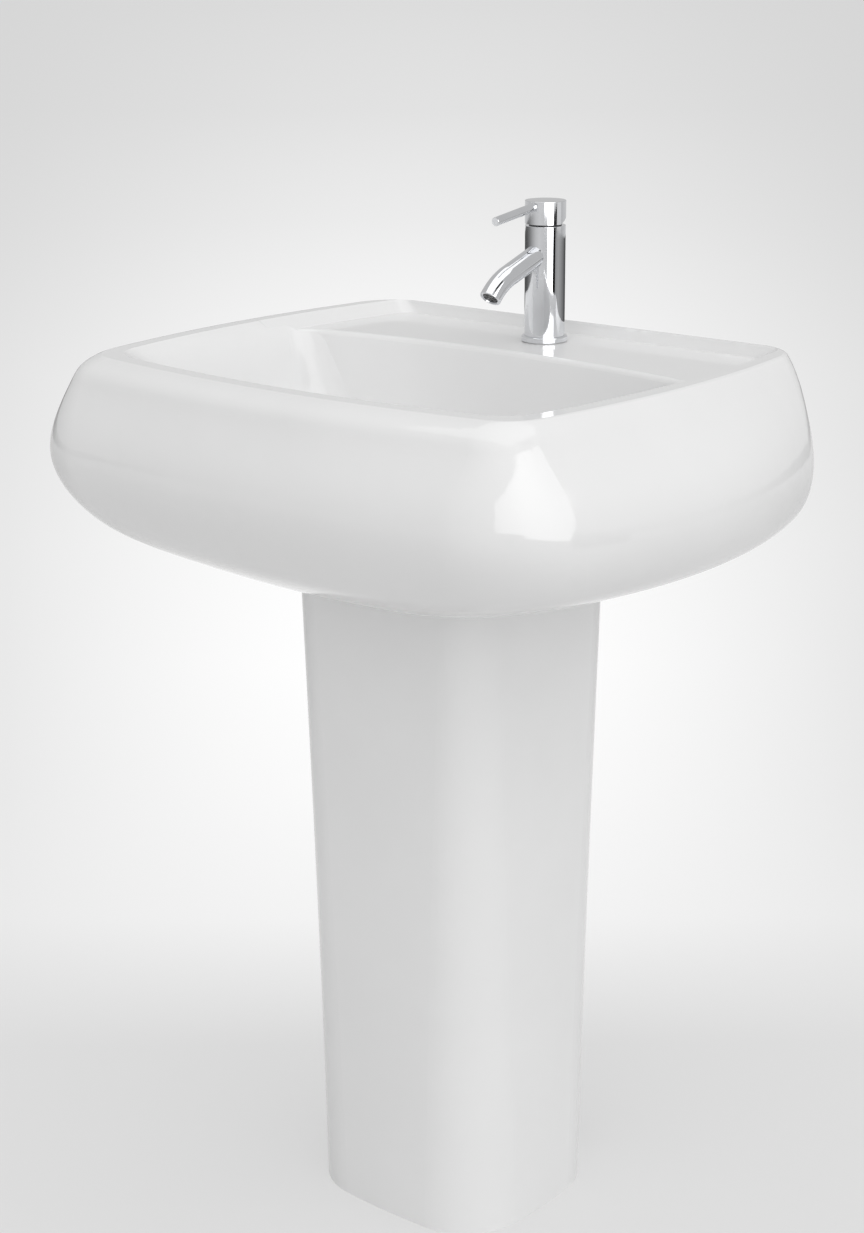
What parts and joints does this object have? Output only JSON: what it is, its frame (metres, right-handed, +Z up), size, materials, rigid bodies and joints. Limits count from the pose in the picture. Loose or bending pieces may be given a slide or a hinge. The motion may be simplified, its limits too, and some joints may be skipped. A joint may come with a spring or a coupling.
{
  "type": "pedestal basin",
  "caption": "White china washbasin on a hollow column, with a chrome single-lever mixer tap, push-open waste and bottle trap.",
  "frame": {"origin": "on the floor, at the centre of the bounding box's base, under the middle of the basin", "axes": "+Z up; the basin's front faces -Y, its flat back lies on the wall at +Y, and X = 0 is its plane of symmetry"},
  "size_m": [0.6642, 0.497, 0.9745],
  "materials": {
    "china": "glossy white vitreous china glaze",
    "chrome": "polished chrome plate on brass",
    "brass": "plain machined brass",
    "steel": "plain stainless steel",
    "rubber": "black moulded rubber",
    "white_plastic": "moulded white polypropylene",
    "cartridge_plastic": "pale grey moulded nylon"
  },
  "bodies": {
    "fixed": {"aerator_housing": "chrome", "aerator_insert": "white_plastic", "basin": "china", "cartridge_housing": "cartridge_plastic", "cartridge_nut": "brass", "cartridge_seal": "rubber", "click_cage": "brass", "dome_ring": "chrome", "fixing_stud": "brass", "horseshoe_gasket": "rubber", "horseshoe_washer": "steel", "pedestal": "china", "plug_spring": "steel", "stud_nut": "brass", "tap_base_ring": "chrome", "tap_base_seal": "rubber", "tap_body": "chrome", "tap_spout": "chrome", "trap_cup": "white_plastic", "trap_cup_seal": "rubber", "trap_head": "white_plastic", "trap_inlet_nut": "white_plastic", "trap_inlet_washer": "rubber", "trap_outlet_nut": "white_plastic", "trap_outlet_washer": "rubber", "waste_back_nut": "brass", "waste_body": "chrome", "waste_cone_seal": "rubber", "waste_pipe": "white_plastic", "waste_top_seal": "rubber"},
    "rotor": {"cartridge_rotor": "cartridge_plastic", "rotor_pin": "steel"},
    "lever": {"lever_spindle": "brass", "lever_cap": "chrome", "lever_pin": "chrome", "grub_screw": "steel"},
    "plug": {"waste_plug": "chrome", "plug_seal": "rubber", "plug_stem": "brass"}
  },
  "joints": [
    {"name": "lever_swivel", "type": "hinge", "parent": "fixed", "child": "rotor", "pos_m": [0, 0.1855, 0.949], "axis": [0, 0, 1], "range_deg": [-45, 45]},
    {"name": "lever_lift", "type": "hinge", "parent": "rotor", "child": "lever", "pos_m": [0, 0.1855, 0.949], "axis": [-1, 0, 0], "range_deg": [0, 24]},
    {"name": "plug_slide", "type": "slide", "parent": "fixed", "child": "plug", "axis": [0, 0, 1], "range_m": [0, 0.008], "deforming": ["plug_spring"]}
  ]
}
